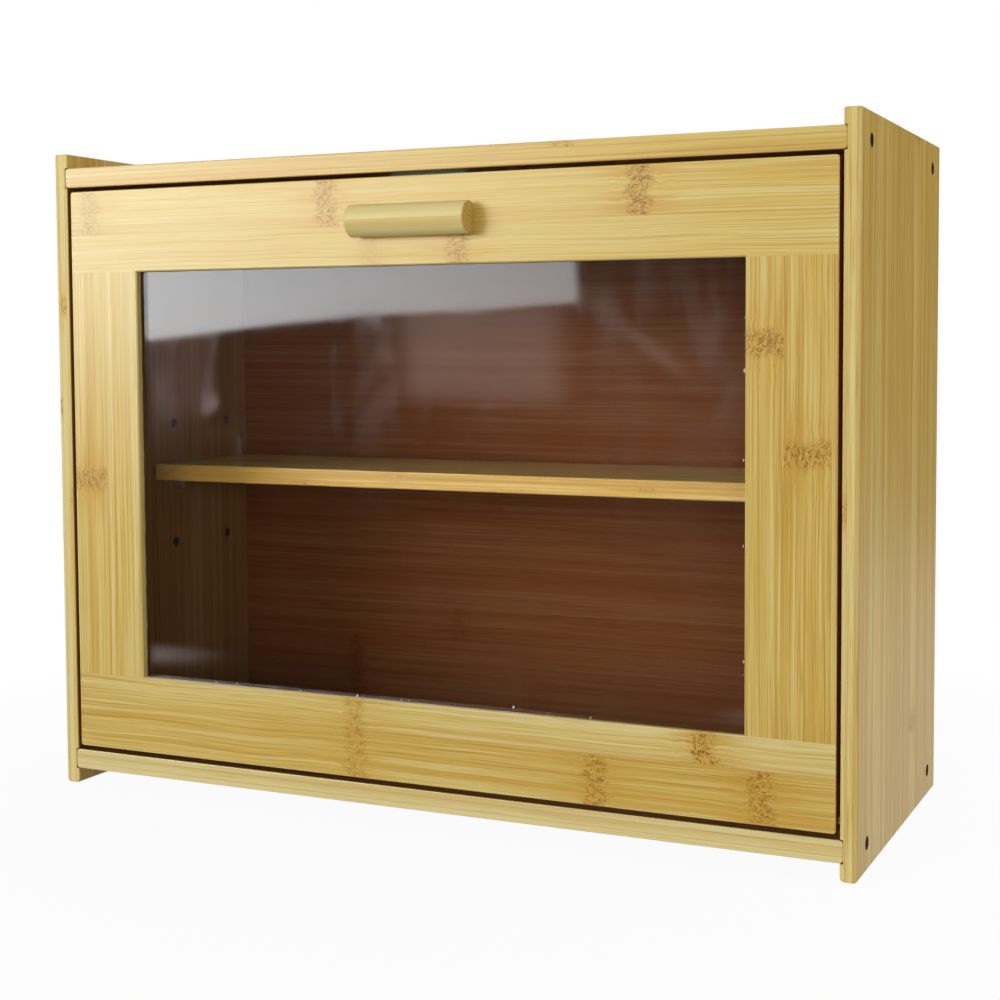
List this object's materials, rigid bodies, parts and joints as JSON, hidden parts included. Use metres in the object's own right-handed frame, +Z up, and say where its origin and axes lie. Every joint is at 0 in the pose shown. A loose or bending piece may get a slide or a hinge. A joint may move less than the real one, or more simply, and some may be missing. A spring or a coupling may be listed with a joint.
{
  "type": "bread bin",
  "caption": "Two-tier bamboo bread bin with a drop-down framed window door, bar handle, magnetic catch and a loose inner shelf.",
  "frame": {"origin": "on the surface the bin stands on, at the middle of the overall box with the handle included", "axes": "+Z up, +X along the width to the bin's right seen from the front, -Y out of the front door"},
  "size_m": [0.4, 0.1712, 0.3115],
  "materials": {
    "bamboo_side": "satin",
    "bamboo_panel": "satin",
    "bamboo_back": "satin",
    "bamboo_door": "satin",
    "bamboo_shelf": "satin",
    "bamboo_handle": "satin",
    "dowel_wood": "matte",
    "clear_pane": "gloss",
    "glue": "gloss",
    "bright_steel": "brushed",
    "plate_steel": "satin",
    "catch_plastic": "satin",
    "magnet_black": "matte"
  },
  "bodies": {
    "cabinet": {"left_side_panel": "bamboo_side", "right_side_panel": "bamboo_side", "top_panel": "bamboo_panel", "bottom_panel": "bamboo_panel", "back_panel": "bamboo_back", "panel_screws_left": "bright_steel", "panel_screws_right": "bright_steel", "shelf_pegs": "bright_steel", "catch_case": "catch_plastic", "catch_pole_plates": "plate_steel", "catch_magnet": "magnet_black", "catch_screws": "bright_steel"},
    "door": {"door_top_rail": "bamboo_door", "door_bottom_rail": "bamboo_door", "door_left_stile": "bamboo_door", "door_right_stile": "bamboo_door", "door_dowels": "dowel_wood", "window_pane": "clear_pane", "pane_glue_bead": "glue", "hinge_pin_left": "bright_steel", "hinge_pin_right": "bright_steel", "handle": "bamboo_handle", "handle_screws": "bright_steel", "strike_plate": "plate_steel", "strike_screws": "bright_steel"},
    "shelf": {"shelf": "bamboo_shelf"}
  },
  "joints": [
    {"name": "door_hinge", "type": "hinge", "parent": "cabinet", "child": "door", "pos_m": [0, -0.0684, 0.0241], "axis": [1, 0, 0], "range_deg": [0, 91.3]},
    {"name": "shelf_lift", "type": "slide", "parent": "cabinet", "child": "shelf", "axis": [0, 0, -1], "range_m": [-0.1386, 0]}
  ]
}
